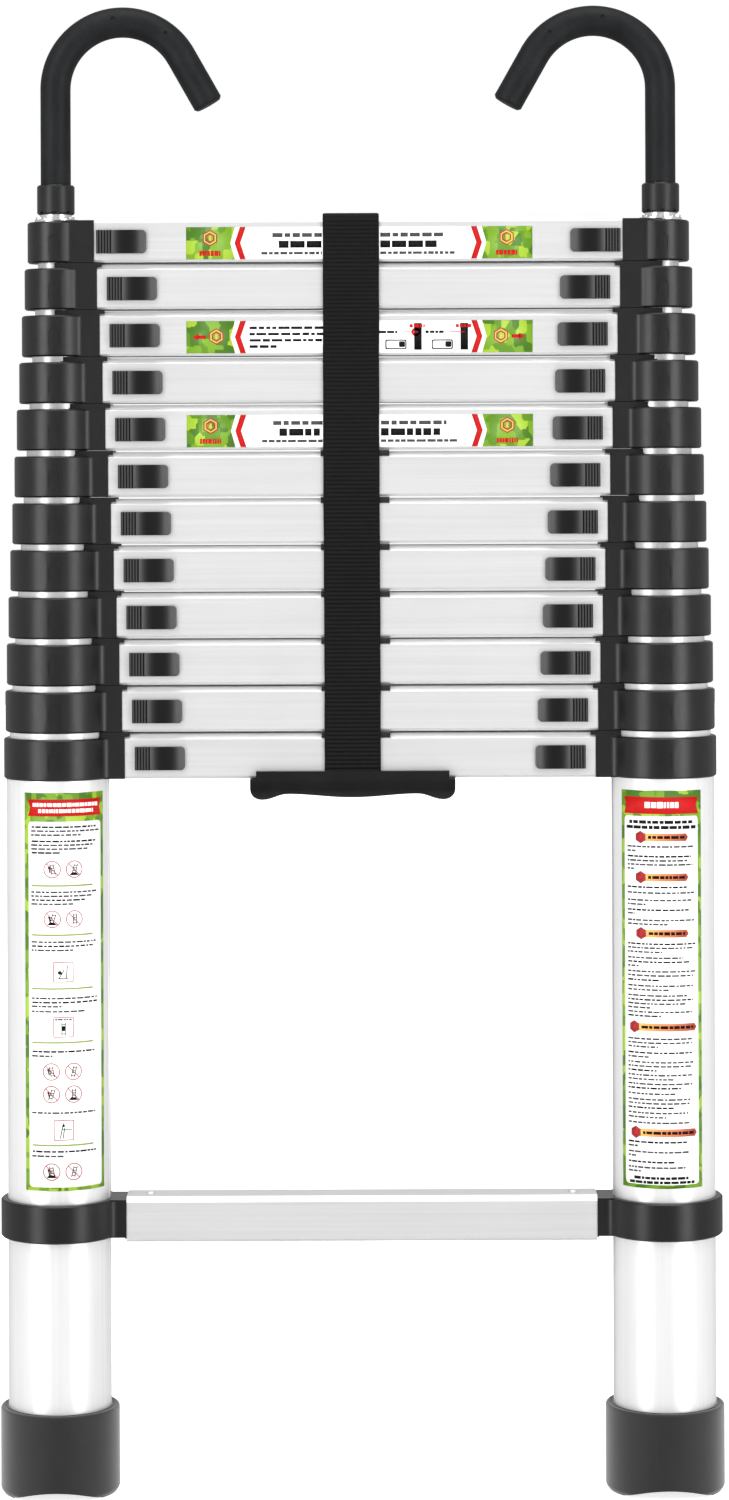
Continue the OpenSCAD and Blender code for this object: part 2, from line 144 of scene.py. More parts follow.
def split_xyz(tree, vector):
    made = node(tree, "ShaderNodeSeparateXYZ")
    link(tree, vector, made.inputs["Vector"])
    return made.outputs


def noise(tree, stretch, detail=3.0, rough=0.55):
    made = node(tree, "ShaderNodeTexNoise", Scale=1.0, Detail=detail, Roughness=rough)
    link(tree, mapped(tree, stretch), made.inputs["Vector"])
    return made.outputs["Fac"]


def ramp(tree, fac, stops):
    made = node(tree, "ShaderNodeValToRGB")
    steps = made.color_ramp.elements
    while len(steps) < len(stops):
        steps.new(0.5)
    for step, (at, colour) in zip(steps, stops):
        step.position = at
        value = colour if isinstance(colour, tuple) else (colour,) * 3
        step.color = (*value, 1.0)
    link(tree, fac, made.inputs["Fac"])
    return made.outputs["Color"]


def math_node(tree, operation, a, b):
    made = node(tree, "ShaderNodeMath", operation=operation)
    for k, value in enumerate((a, b)):
        if isinstance(value, float):
            made.inputs[k].default_value = value
        else:
            link(tree, value, made.inputs[k])
    return made.outputs[0]


def weighted(tree, *parts, plus=None):
    """The sum of (value, share) pairs, and of a constant."""
    total = None
    for value, share in parts:
        term = math_node(tree, "MULTIPLY", value, share)
        total = term if total is None else math_node(tree, "ADD", total, term)
    return total if plus is None else math_node(tree, "ADD", total, plus)


def bump(tree, shader, layers):
    """Stacks bump layers of (height, distance in metres, strength) on the shader's normal."""
    normal = None
    for height, distance, strength in layers:
        made = node(tree, "ShaderNodeBump", Distance=distance, Strength=strength)
        link(tree, height, made.inputs["Height"])
        if normal is not None:
            link(tree, normal, made.inputs["Normal"])
        normal = made.outputs["Normal"]
    link(tree, normal, shader.inputs["Normal"])


# ---- materials ----


def aluminium(name, along, dark, light, rough, metal):
    """Matt anodised aluminium with fine drawing lines along X or Z."""
    fine, broad = (12, 2600, 2600), (3, 420, 420)
    if along == "Z":
        fine, broad = (2600, 2600, 12), (420, 420, 3)
    made, tree, shader = surface(name, Metallic=metal, IOR=1.45)
    lines = noise(tree, fine, 2.0)
    bands = noise(tree, broad, 3.0)
    smudge = noise(tree, (38, 38, 38), 4.0, 0.6)
    both = weighted(tree, (lines, 0.35), (bands, 0.65))
    link(tree, ramp(tree, both, [(0.3, dark), (0.7, light)]), shader.inputs["Base Color"])
    uneven = weighted(tree, (lines, 0.10), (smudge, 0.12), plus=rough - 0.11)
    link(tree, uneven, shader.inputs["Roughness"])
    bump(tree, shader, [(bands, 0.00002, 0.35), (lines, 0.00001, 0.4)])
    return made


PLATE_LOW = 17.7 * MM   # the bottom of a thumb plate's hollow, before the rails' plane
PLATE_RISE = 0.8 * MM   # from there to its rims


def paint_rim_highlight(tree, shader, light, rim_highlight, level):
    """Paints a thumb plate's rims, ribs and slopes lighter and shinier than its hollow: a painted
    highlight where they face the side lamps, not wear.
    """
    place = node(tree, "ShaderNodeTexCoord")
    aim = split_xyz(tree, place.outputs["Normal"])
    spot = split_xyz(tree, place.outputs["Object"])
    # painted highlight: the more a face turns from the front or stands proud of the hollow, the
    # lighter its colour
    tilt = math_node(tree, "MULTIPLY", math_node(tree, "ADD", aim["Y"], 1.0), 5.0)
    proud = math_node(tree, "ADD", spot["Y"], PLATE_LOW)
    proud = math_node(tree, "MULTIPLY", proud, -1.0 / PLATE_RISE)
    proud = math_node(tree, "POWER", math_node(tree, "MAXIMUM", proud, 0.0), 2.0)
    highlit = math_node(tree, "MAXIMUM", tilt, proud)
    link(tree, ramp(tree, highlit, [(0.0, light), (1.0, rim_highlight)]), shader.inputs["Base Color"])
    shine = ramp(tree, highlit, [(0.0, level * 0.3), (0.6, level)])
    link(tree, shine, shader.inputs["Specular IOR Level"])


def plastic(name, dark, light, rough, grain=1500.0, depth=0.00003, level=0.5, sheen=0.0,
            rim_highlight=None):
    """Moulded plastic or rubber: a fine spark-eroded grain, faint flow marks and scuffs; for a
    thumb plate, also a painted highlight on its rims and slopes.
    """
    made, tree, shader = surface(name, Specular_IOR_Level=level, IOR=1.48, Sheen_Weight=sheen,
                                 Sheen_Roughness=0.5)
    grains = noise(tree, (grain, grain, grain), 2.0, 0.6)
    flow = noise(tree, (70, 70, 45), 4.0, 0.6)
    scuffs = noise(tree, (240, 240, 90), 6.0, 0.7)
    both = weighted(tree, (grains, 0.4), (flow, 0.6))
    link(tree, ramp(tree, both, [(0.32, dark), (0.68, light)]), shader.inputs["Base Color"])
    uneven = weighted(tree, (scuffs, 0.16), (grains, 0.08), plus=rough - 0.12)
    link(tree, uneven, shader.inputs["Roughness"])
    bump(tree, shader, [(grains, depth, 0.5), (scuffs, 0.00002, 0.2)])
    # a thumb plate's rims and slopes get a painted highlight in place of the grain colour
    if rim_highlight:
        paint_rim_highlight(tree, shader, light, rim_highlight, level)
    return made


def vinyl(name, colour, spread=0.06, rough=0.34, level=0.4):
    """Printed vinyl: an even ink with a faint mottle under a satin film."""
    made, tree, shader = surface(name, Specular_IOR_Level=level, IOR=1.46)
    mottle = noise(tree, (900, 900, 900), 3.0)
    low = tuple(c * (1 - spread) for c in colour)
    high = tuple(min(1.0, c * (1 + spread)) for c in colour)
    link(tree, ramp(tree, mottle, [(0.3, low), (0.7, high)]), shader.inputs["Base Color"])
    waves = noise(tree, (120, 120, 120), 2.0)
    link(tree, weighted(tree, (waves, 0.14), plus=rough - 0.07), shader.inputs["Roughness"])
    bump(tree, shader, [(waves, 0.00004, 0.25)])
    return made


def camo_vinyl(name):
    """Angular patches of four greens, as on a cut-paper pattern."""
    made, tree, shader = surface(name, Specular_IOR_Level=0.4, IOR=1.46, Roughness=0.36)
    cells = node(tree, "ShaderNodeTexVoronoi", feature="F1", distance="CHEBYCHEV", Scale=1.0,
                 Randomness=1.0)
    link(tree, mapped(tree, (165, 165, 130)), cells.inputs["Vector"])
    shade = node(tree, "ShaderNodeSeparateColor")
    link(tree, cells.outputs["Color"], shade.inputs["Color"])
    step = ramp(tree, shade.outputs["Red"], [
        (0.0, (0.055, 0.150, 0.010)), (0.24, (0.095, 0.220, 0.012)),
        (0.50, (0.150, 0.300, 0.016)), (0.78, (0.290, 0.440, 0.030))])
    step.node.color_ramp.interpolation = "CONSTANT"
    link(tree, step, shader.inputs["Base Color"])
    return made


def fade_vinyl(name):
    """The headings' band, amber at its left end and brick red at its right."""
    made, tree, shader = surface(name, Specular_IOR_Level=0.4, IOR=1.46, Roughness=0.36)
    along = split_xyz(tree, mapped(tree, (1, 1, 1), "UV"))["X"]
    colour = ramp(tree, along, [
        (0.0, (0.75, 0.45, 0.10)), (0.45, (0.62, 0.19, 0.06)), (1.0, (0.28, 0.024, 0.013))])
    link(tree, colour, shader.inputs["Base Color"])
    return made


def webbing_cloth(name):
    """Black woven webbing: a dense diagonal weave over the modelled ribs."""
    made, tree, shader = surface(name, Specular_IOR_Level=0.16, IOR=1.46, Sheen_Weight=0.03,
                                 Sheen_Roughness=0.4)
    shader.inputs["Sheen Tint"].default_value = (0.5, 0.5, 0.52, 1.0)
    weft = node(tree, "ShaderNodeTexWave", wave_type="BANDS", bands_direction="X", Scale=1.0,
                Distortion=0.6)
    link(tree, mapped(tree, (140, 140, 140), "UV"), weft.inputs["Vector"])
    twill = node(tree, "ShaderNodeTexWave", wave_type="BANDS", bands_direction="DIAGONAL",
                 Scale=1.0, Distortion=0.4)
    link(tree, mapped(tree, (90, 90, 90), "UV"), twill.inputs["Vector"])
    fuzz = noise(tree, (1400, 1400, 1400), 3.0, 0.65)
    wear = noise(tree, (30, 30, 22), 4.0)
    tone = weighted(tree, (fuzz, 0.6), (wear, 0.4))
    link(tree, ramp(tree, tone, [(0.3, 0.0006), (0.75, 0.003)]), shader.inputs["Base Color"])
    link(tree, weighted(tree, (fuzz, 0.2), plus=0.42), shader.inputs["Roughness"])
    bump(tree, shader, [(weft.outputs["Fac"], 0.00008, 0.5), (twill.outputs["Fac"], 0.00005, 0.35),
                        (fuzz, 0.00004, 0.4)])
    return made


def plated_steel(name):
    """Zinc-plated steel: fine turning lines and a faint crystalline mottle."""
    made, tree, shader = surface(name, Metallic=1.0, IOR=1.45)
    turned = noise(tree, (60, 60, 3200), 2.0)
    mottle = noise(tree, (260, 260, 260), 4.0)
    link(tree, ramp(tree, mottle, [(0.3, 0.60), (0.7, 0.78)]), shader.inputs["Base Color"])
    link(tree, weighted(tree, (mottle, 0.2), plus=0.18), shader.inputs["Roughness"])
    bump(tree, shader, [(turned, 0.00002, 0.4)])
    return made


TUBE = aluminium("aluminium_tube", "Z", 0.70, 0.77, 0.36, 0.5)
RUNG = aluminium("aluminium_rung", "X", 0.60, 0.68, 0.40, 0.6)
SOCKET = aluminium("aluminium_socket", "Z", 0.70, 0.84, 0.26, 0.9)
COLLAR = plastic("collar_plastic", (0.003, 0.003, 0.0034), (0.0062, 0.0062, 0.0067), 0.34,
                 level=0.46)
# the thumb plates' rim colour is a painted highlight
LATCH = plastic("latch_plastic", (0.0015, 0.0016, 0.002), (0.0045, 0.0047, 0.0052), 0.40, 1900.0,
                level=0.62, rim_highlight=(0.05, 0.05, 0.052))
RUBBER = plastic("foot_rubber", (0.003, 0.003, 0.0035), (0.007, 0.007, 0.0075), 0.60, 1100.0,
                 0.00005, 0.22, 0.45)
SLEEVE = plastic("hook_sleeve_rubber", (0.002, 0.0026, 0.003), (0.008, 0.0092, 0.010), 0.56, 700.0,
                 0.00010, 0.22)
NUT = plastic("hook_nut_plastic", (0.005, 0.005, 0.0055), (0.011, 0.011, 0.012), 0.38, level=0.36)
GRIP = plastic("grip_plastic", (0.002, 0.002, 0.0024), (0.0055, 0.0055, 0.006), 0.32, 1300.0,
               level=0.34)
STEEL = plated_steel("plated_steel")
CLOTH = webbing_cloth("strap_webbing")
PAPER = vinyl("label_white", (0.82, 0.82, 0.81), 0.02)
INK = vinyl("label_ink", (0.004, 0.004, 0.0045), 0.2, 0.4, 0.12)
GREY_INK = vinyl("label_grey_ink", (0.045, 0.045, 0.048), 0.15, 0.4, 0.2)
RED_INK = vinyl("label_red", (0.40, 0.004, 0.004), 0.06, 0.4, 0.15)
RING_INK = vinyl("label_ring_red", (0.26, 0.018, 0.020), 0.1)
GREEN_INK = vinyl("label_green", (0.17, 0.26, 0.035), 0.12)
AMBER_INK = vinyl("label_amber", (0.70, 0.36, 0.07))
CAMO = camo_vinyl("label_camouflage")
FADE = fade_vinyl("label_amber_to_red")

# ---- materials and rounded edges of the CAD nodes ----


WELD_DISTANCE = 0.003 * MM


def dress(name, materials, width, angle=34.0, choose=None):
    """Gives a CAD node its materials by face, smooth shading and small rounded edges, in mm."""
    o = NODES[name]
    mesh = o.data
    mesh.materials.clear()
    for made in materials:
        mesh.materials.append(made)
    for face in mesh.polygons:
        face.use_smooth = True
        face.material_index = choose(face) if choose else 0
    if "custom_normal" in mesh.attributes:
        mesh.attributes.remove(mesh.attributes["custom_normal"])
    o.modifiers.new("weld", "WELD").merge_threshold = WELD_DISTANCE
    if width:
        round_edges(o, width, angle)
    return o


RUNG_GAP = 2.0          # between a tube and the part of its node that is the rung
PIN_FRONT_Y = -9.0      # behind this a latch is its steel pin


def tube_or_rung(k):
    """0 for the tubes' faces, 1 for the rung's."""
    split = (RAIL_X - tube_r(k) - RUNG_GAP) * MM
    return lambda face: 1 if abs(face.center.x) < split else 0


def plate_or_pin(face):
    """0 for the thumb plate and its legs, 1 for the steel pin inside."""
    return 0 if face.center.y < PIN_FRONT_Y * MM else 1


for k in range(1, SECTIONS + 1):
    dress("tubes_and_rung_%02d" % k, [TUBE, RUNG], 0.35, 40.0, tube_or_rung(k))
    dress("collars_%02d" % k, [COLLAR], 0.5)
    for side in ("left", "right"):
        dress("latch_%s_%02d" % (side, k), [LATCH, STEEL], 0.25, 34.0, plate_or_pin)
dress("bottom_rung", [RUNG], 0.35, 40.0)
dress("bottom_collars", [COLLAR], 0.6)
dress("rubber_feet", [RUBBER], 0.5, 40.0)
dress("hook_sockets", [SOCKET], 0.3, 40.0)
dress("carry_handle", [GRIP], 0.7)
for side in ("left", "right"):
    for part, made in (("hook_sleeve_", SLEEVE), ("hook_stem_", STEEL)):
        rod = dress(part + side, [made], 0.0)
        rod.modifiers.new("even_shading", "WEIGHTED_NORMAL").mode = "FACE_AREA"
    dress("hook_nut_" + side, [NUT], 0.35, 40.0)

# ---- the webbing: an inverted U over the closed stack, both ends tucked into the grip ----

STRAP_X = -5.0
STRAP_W = 37.0
STRAP_MID_Y = 16.45
STRAP_TOP = rung_z(1) + RUNG_HALF_H + 1.5
STRAP_LOW = rung_z(SECTIONS) - RUNG_HALF_H - 2.0
STRAP_BEND = 3.4
RIB_PITCH = 2.7
RIB_PROFILE = (-0.42, -0.02, 0.17, 0.24, 0.17, -0.02)     # a narrow groove and a round back
RIB_STEPS = len(RIB_PROFILE)
BEND_STEPS = 8
WEAVE_SCALE = 0.01      # the weave's UV units in a millimetre


def strap_line():
    """Points (y, z) of the webbing's middle line, evenly spaced, with its outward directions."""
    corners = [(-STRAP_MID_Y, STRAP_LOW)]
    for turn, centre_y in ((180, -STRAP_MID_Y + STRAP_BEND), (90, STRAP_MID_Y - STRAP_BEND)):
        for step in range(BEND_STEPS + 1):
            a = math.radians(turn - step * 90 / BEND_STEPS)
            corners.append((centre_y + STRAP_BEND * math.cos(a),
                            STRAP_TOP - STRAP_BEND + STRAP_BEND * math.sin(a)))
    corners.append((STRAP_MID_Y, STRAP_LOW))
    runs = [math.dist(a, b) for a, b in zip(corners, corners[1:])]
    total = sum(runs)
    count = round(total / RIB_PITCH) * RIB_STEPS
    line, at, done = [], 0, 0.0
    for n in range(count + 1):
        want = total * n / count
        while at < len(runs) - 1 and done + runs[at] < want:
            done += runs[at]
            at += 1
        t = (want - done) / runs[at]
        a, b = corners[at], corners[at + 1]
        line.append((a[0] + (b[0] - a[0]) * t, a[1] + (b[1] - a[1]) * t))
    out = []
    for n, point in enumerate(line):
        a, b = line[max(0, n - 1)], line[min(count, n + 1)]
        size = math.dist(a, b)
        out.append((*point, -(b[1] - a[1]) / size, (b[0] - a[0]) / size))
    return out, total


def make_strap():
    line, total = strap_line()
    half = STRAP_W / 2
    # across the width: (x, share of the rib's height, thickness from the middle line)
    across = [(-half, 0.0, 0.30), (-half + 0.5, 0.35, 0.62), (-half + 1.6, 0.8, 0.70)]
    across += [(x, 1.0, 0.66 + 0.02 * math.cos(x * 0.9)) for x in range(-15, 16, 3)]
    across += [(half - 1.6, 0.8, 0.70), (half - 0.5, 0.35, 0.62), (half, 0.0, 0.30)]
    mesh = bmesh.new()
    uv = mesh.loops.layers.uv.new("weave")
    rings, places = [], []
    for n, (y, z, ny, nz) in enumerate(line):
        rib = RIB_PROFILE[n % RIB_STEPS]
        along = total * n / (len(line) - 1)
        sway = 0.12 * math.sin(along * 0.021) + 0.06 * math.sin(along * 0.13)
        round_it = [(x, thick + rib * share) for x, share, thick in across]
        round_it += [(x, -thick + 0.5 * rib * share) for x, share, thick in reversed(across)]
        rings.append([mesh.verts.new(((STRAP_X + x + sway) * MM, (y + ny * off) * MM,
                                      (z + nz * off) * MM)) for x, off in round_it])
        places.append([(x * WEAVE_SCALE, along * WEAVE_SCALE) for x, _ in round_it])
    size = len(rings[0])
    for n in range(len(rings) - 1):
        for i in range(size):
            j = (i + 1) % size
            face = mesh.faces.new((rings[n][i], rings[n][j], rings[n + 1][j], rings[n + 1][i]))
            for loop, place in zip(face.loops, (places[n][i], places[n][j],
                                                places[n + 1][j], places[n + 1][i])):
                loop[uv].uv = place
            face.smooth = True
    mesh.faces.new(rings[0][::-1])
    mesh.faces.new(rings[-1])
    bmesh.ops.recalc_face_normals(mesh, faces=mesh.faces)
    o = finished("strap_webbing", baked("strap_webbing", mesh), "section_01", [CLOTH])
    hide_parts("strap")


make_strap()

# ---- bumper pads: a soft lip on the front upper edge of each lower rung, under the strap ----

FIRST_PAD = 6
PAD_OUTLINE = [(-5.0, 0.06), (-11.55, 0.06), (-14.75, -3.1), (-15.35, -3.0), (-15.75, -2.3),
               (-15.75, 0.2), (-15.3, 0.75), (-14.4, 1.05), (-5.0, 1.05)]
PAD_LEFT, PAD_RIGHT = -25.4, 19.9


def make_pad(k):
    mesh = bmesh.new()
    top = rung_z(k) + RUNG_HALF_H
    ends = []
    for x in (PAD_LEFT, PAD_RIGHT):
        ends.append([mesh.verts.new((x * MM, y * MM, (top + z) * MM)) for y, z in PAD_OUTLINE])
    mesh.faces.new(ends[0])
    mesh.faces.new(ends[1][::-1])
    for i in range(len(PAD_OUTLINE)):
        j = (i + 1) % len(PAD_OUTLINE)
        mesh.faces.new((ends[0][j], ends[0][i], ends[1][i], ends[1][j]))
    bmesh.ops.recalc_face_normals(mesh, faces=mesh.faces)
    name = "bumper_pad_%02d" % k
    data = baked(name, mesh)
    for face in data.polygons:
        face.use_smooth = True
    o = finished(name, data, section_body(k), [RUBBER])
    round_edges(o, 0.2, 30.0, "MITER_SHARP")


for k in range(FIRST_PAD, SECTIONS + 1):
    make_pad(k)

# ---- printed labels ----

FILM = 0.10                             # thickness of each printed layer
LAYERS = (0.15, 0.19, 0.23, 0.27)       # how far each layer's face stands off its surface


def clipped(points, at, keep_high):
    """The part of a convex outline on one side of u = at."""
    out = []
    for (u0, v0), (u1, v1) in zip(points, points[1:] + points[:1]):
        in0 = u0 >= at if keep_high else u0 <= at
        in1 = u1 >= at if keep_high else u1 <= at
        if in0:
            out.append((u0, v0))
        if in0 != in1:
            t = (at - u0) / (u1 - u0)
            out.append((at, v0 + (v1 - v0) * t))
    return out


def sorted_turn(points):
    """The same outline, turning anticlockwise, so that every film faces outwards."""
    area = sum(a[0] * b[1] - b[0] * a[1] for a, b in zip(points, points[1:] + points[:1]))
    return points if area > 0 else points[::-1]


class Label:
    """Artwork in millimetres, u to the right and v upwards, wrapped on a surface by place."""

    def __init__(self, place, strip=None):
        self.place, self.strip = place, strip
        self.mesh = bmesh.new()
        self.uv = self.mesh.loops.layers.uv.new("art")
        self.materials = []

    def shape(self, points, material, layer, span=None):
        """A convex outline on one layer; span is the u range that the art's UV runs over."""
        if material not in self.materials:
            self.materials.append(material)
        index = self.materials.index(material)
        points = [(float(u), float(v)) for u, v in points]
        low, high = min(p[0] for p in points), max(p[0] for p in points)
        count = max(1, math.ceil((high - low) / self.strip)) if self.strip else 1
        known = {}
        for n in range(count):
            part = points
            if count > 1:
                part = clipped(part, low + (high - low) * n / count, True)
                part = clipped(part, low + (high - low) * (n + 1) / count, False)
            corners = []
            for u, v in part:
                key = (round(u, 4), round(v, 4))
                if key not in known:
                    x, y, z = self.place(u, v, LAYERS[layer])
                    known[key] = self.mesh.verts.new((x * MM, y * MM, z * MM))
                if not corners or corners[-1][0] != known[key]:
                    corners.append((known[key], u, v))
            if corners and corners[0][0] == corners[-1][0]:
                corners.pop()
            if len(corners) < 3 or len({c[0] for c in corners}) < len(corners):
                continue
            face = self.mesh.faces.new([c[0] for c in corners])
            face.material_index = index
            face.smooth = True
            for loop, (_, u, v) in zip(face.loops, corners):
                a, b = span or (low, high)
                loop[self.uv].uv = ((u - a) / (b - a), v * 0.01)

    def bar(self, u0, u1, v, high, material, layer, span=None):
        low, top = v - high / 2, v + high / 2
        self.shape([(u0, low), (u1, low), (u1, top), (u0, top)], material, layer, span)

    def rounded(self, u0, u1, v0, v1, r, material, layer):
        points = []
        for cu, cv, turn in ((u1 - r, v1 - r, 0), (u0 + r, v1 - r, 90), (u0 + r, v0 + r, 180),
                             (u1 - r, v0 + r, 270)):
            for step in range(5):
                a = math.radians(turn + step * 22.5)
                points.append((cu + r * math.cos(a), cv + r * math.sin(a)))
        self.shape(points, material, layer)

    def ring(self, u, v, r, line, material, layer, sides=28, turn=0.0):
        for n in range(sides):
            a = math.radians(turn + 360 * n / sides)
            b = math.radians(turn + 360 * (n + 1) / sides)
            self.shape([(u + r * math.cos(a), v + r * math.sin(a)),
                        (u + r * math.cos(b), v + r * math.sin(b)),
                        (u + (r - line) * math.cos(b), v + (r - line) * math.sin(b)),
                        (u + (r - line) * math.cos(a), v + (r - line) * math.sin(a))],
                       material, layer)

    def disc(self, u, v, r, material, layer, sides=20, turn=0.0):
        self.shape([(u + r * math.cos(math.radians(turn + 360 * n / sides)),
                     v + r * math.sin(math.radians(turn + 360 * n / sides)))
                    for n in range(sides)], material, layer)

    def stroke(self, u0, v0, u1, v1, line, material, layer):
        size = math.hypot(u1 - u0, v1 - v0)
        du, dv = -(v1 - v0) / size * line / 2, (u1 - u0) / size * line / 2
        self.shape([(u0 + du, v0 + dv), (u0 - du, v0 - dv), (u1 - du, v1 - dv), (u1 + du, v1 + dv)],
                   material, layer)

    def dashes(self, u0, u1, v, high, material, layer, seed, word=3.2, gap=0.7):
        """A row of bars of uneven lengths, in place of a printed line."""
        chance = random.Random(seed)
        u = u0
        while u < u1 - 0.8:
            end = min(u1, u + word * chance.uniform(0.45, 1.5))
            tall = high * chance.uniform(0.86, 1.0)
            self.bar(u, end, v, tall, material, layer)
            u = end + gap * chance.uniform(0.8, 1.3)

    def done(self, name, body):
        bmesh.ops.remove_doubles(self.mesh, verts=self.mesh.verts, dist=1e-7)
        o = finished(name, baked(name, self.mesh), body, self.materials)
        film = o.modifiers.new("film", "SOLIDIFY")
        film.thickness = FILM * MM
        film.offset = -1.0
        film.use_even_offset = False


LABEL_HALF_W = 29.2
LABEL_TOP = 462.9
LABEL_TALL = 260.0
PANEL_HALF_W = 26.3
PANEL_R = 2.4
RIBBON_TOP, RIBBON_LOW = 4.2, 15.2
RIBBON_HALF_W, RIBBON_NOTCH = 26.6, 24.9
LABEL_STRIP = 1.6       # widest flat strip of a label that goes round a tube


def on_tube(side, turn):
    """Wraps a label round the front of a base tube, turned by that many degrees."""
    def place(u, v, lift):
        a = math.radians(turn) + u / BASE_TUBE_R
        r = BASE_TUBE_R + lift
        return side * RAIL_X + r * math.sin(a), -r * math.cos(a), LABEL_TOP + v
    return place


def ground(label, panel_top):
    """The patterned border, the red ribbon and the white panel of a tube label."""
    half = LABEL_HALF_W
    label.shape([(-half, -LABEL_TALL), (half, -LABEL_TALL), (half, 0), (-half, 0)], CAMO, 0)
    label.rounded(-PANEL_HALF_W, PANEL_HALF_W, -LABEL_TALL + PANEL_R, -panel_top, PANEL_R, PAPER, 1)
    mid = -(RIBBON_TOP + RIBBON_LOW) / 2
    for end in (-1, 1):
        wide, notch = end * RIBBON_HALF_W, end * RIBBON_NOTCH
        for outline in ([(0, -RIBBON_TOP), (wide, -RIBBON_TOP), (notch, mid), (0, mid)],
                        [(0, mid), (notch, mid), (wide, -RIBBON_LOW), (0, -RIBBON_LOW)]):
            label.shape(sorted_turn(outline), RED_INK, 1)


def small_ladder(label, u, v, high, lean, layer):
    """A plain ladder of strokes, leaning by lean."""
    for side in (-1.1, 1.1):
        label.stroke(u + side - lean / 2, v - high / 2, u + side + lean / 2, v + high / 2, 0.55,
                     INK, layer)
    for step in range(4):
        t = (step + 0.6) / 4.2 - 0.5
        label.stroke(u - 1.1 + lean * t, v + high * t, u + 1.1 + lean * t, v + high * t, 0.5,
                     INK, layer)


def sign(label, u, v, seed):
    """A ring with a stroke across it and a plain ladder behind the stroke."""
    label.ring(u, v, 5.7, 0.6, RING_INK, 3)
    small_ladder(label, u + 0.3, v, 7.0, (1.8, -1.4, 0.0, 2.4)[seed % 4], 2)
    if seed % 3 == 0:
        label.shape(sorted_turn([(u - 3.4, v - 3.9), (u + 3.2, v - 3.9), (u + 1.4, v - 2.2),
                                 (u - 1.6, v - 1.9)]), INK, 2)
    if seed % 2:
        label.disc(u - 1.9, v + 1.1, 0.9, INK, 2, 12)
        label.stroke(u - 1.9, v + 0.5, u - 1.3, v - 2.2, 0.9, INK, 2)
    label.stroke(u - 3.8, v + 3.8, u + 3.8, v - 3.8, 0.55, RING_INK, 3)


def framed(label, u, v, seed):
    """A thin square frame with plain strokes in it."""
    half = 6.4
    for a, b, c, d in ((-1, -1, 1, -1), (1, -1, 1, 1), (1, 1, -1, 1), (-1, 1, -1, -1)):
        label.stroke(u + a * half, v + b * half, u + c * half, v + d * half, 0.55, RING_INK, 2)
    if seed == 0:
        label.stroke(u - 3.4, v - 4.2, u + 3.4, v - 4.2, 0.5, INK, 2)
        label.stroke(u + 1.9, v - 4.0, u + 2.6, v + 4.4, 0.6, INK, 2)
        label.stroke(u - 2.8, v - 4.0, u + 0.6, v + 1.6, 0.6, INK, 2)
        label.disc(u - 2.4, v - 0.4, 1.3, INK, 2, 12)
    elif seed == 1:
        label.dashes(u - 5.6, u + 5.6, v + 5.0, 1.1, GREY_INK, 2, 71, 2.0, 0.5)
        small_ladder(label, u, v - 1.2, 8.6, 0.0, 2)
        label.disc(u, v - 0.6, 1.5, INK, 3, 14)
    else:
        label.stroke(u - 2.4, v - 5.4, u - 0.4, v + 4.6, 0.6, INK, 2)
        label.stroke(u - 0.6, v - 5.4, u + 0.4, v + 1.6, 0.6, INK, 2)
        label.stroke(u - 1.0, v + 0.4, u + 5.2, v + 0.4, 0.45, INK, 2)
        label.disc(u - 0.2, v + 3.0, 0.9, INK, 2, 12)


def left_label():
    label = Label(on_tube(-1, 14.0), LABEL_STRIP)
    ground(label, 18.8)
    for row, (v, u) in enumerate(((7.8, 23.0), (11.8, 19.0))):
        label.dashes(-u, u, -v, 2.6, PAPER, 2, 10 + row, 2.2, 0.45)
    # each printed line: (distance below the label's top, where it ends)
    rows = [(22.3, 21.5), (24.9, 24.2), (27.5, 9.5), (31.6, 21.0), (34.1, 18.5), (36.6, 16.0),
            (39.1, -4.0), (64.8, 22.6), (67.4, 19.0), (70.0, 12.5), (72.6, 4.0), (97.4, 21.0),
            (100.1, 20.0), (102.8, 4.0), (134.2, 22.0), (136.9, 23.5), (139.5, -4.0), (142.8, 13.0),
            (169.0, 20.5), (171.9, -10.0), (209.0, 20.0), (234.3, 20.5), (237.3, -3.0)]
    for n, (v, end) in enumerate(rows):
        start, ink = (-23.8, INK) if n % 3 == 0 else (-24.2, GREY_INK)
        label.dashes(start, end, -v, 1.25, ink, 2, 100 + n)
    for v in (60.6, 92.8, 127.9, 163.1, 230.2):
        label.bar(-23.9, 18.3, -v, 1.05, GREEN_INK, 2)
    for n, (v, shift) in enumerate(((49.9, 0.0), (82.4, 0.0), (182.1, -1.0), (196.9, -1.0),
                                    (247.5, -1.0))):
        sign(label, -9.8 + shift, -v, 2 * n + 1)
        sign(label, 4.8 + shift, -v, 2 * n)
    for n, v in enumerate((117.0, 153.0, 220.3)):
        framed(label, -2.7, -v, n)
    label.done("tube_label_left", "base")


def heading(label, u, v, end):
    """An amber-to-red band with a pointed end and a red hexagon before it."""
    label.shape([(u, v - 2.5), (end - 1.6, v - 2.5), (end, v), (end - 1.6, v + 2.5), (u, v + 2.5)],
                FADE, 2, (u, end))
    label.disc(u, v, 4.1, RING_INK, 3, 6, 30.0)
    label.dashes(u + 5.2, end - 2.6, v, 2.1, INK, 3, int(v * 10), 3.4, 0.6)
    label.ring(u, v, 2.3, 0.7, RED_INK, 3, 18)


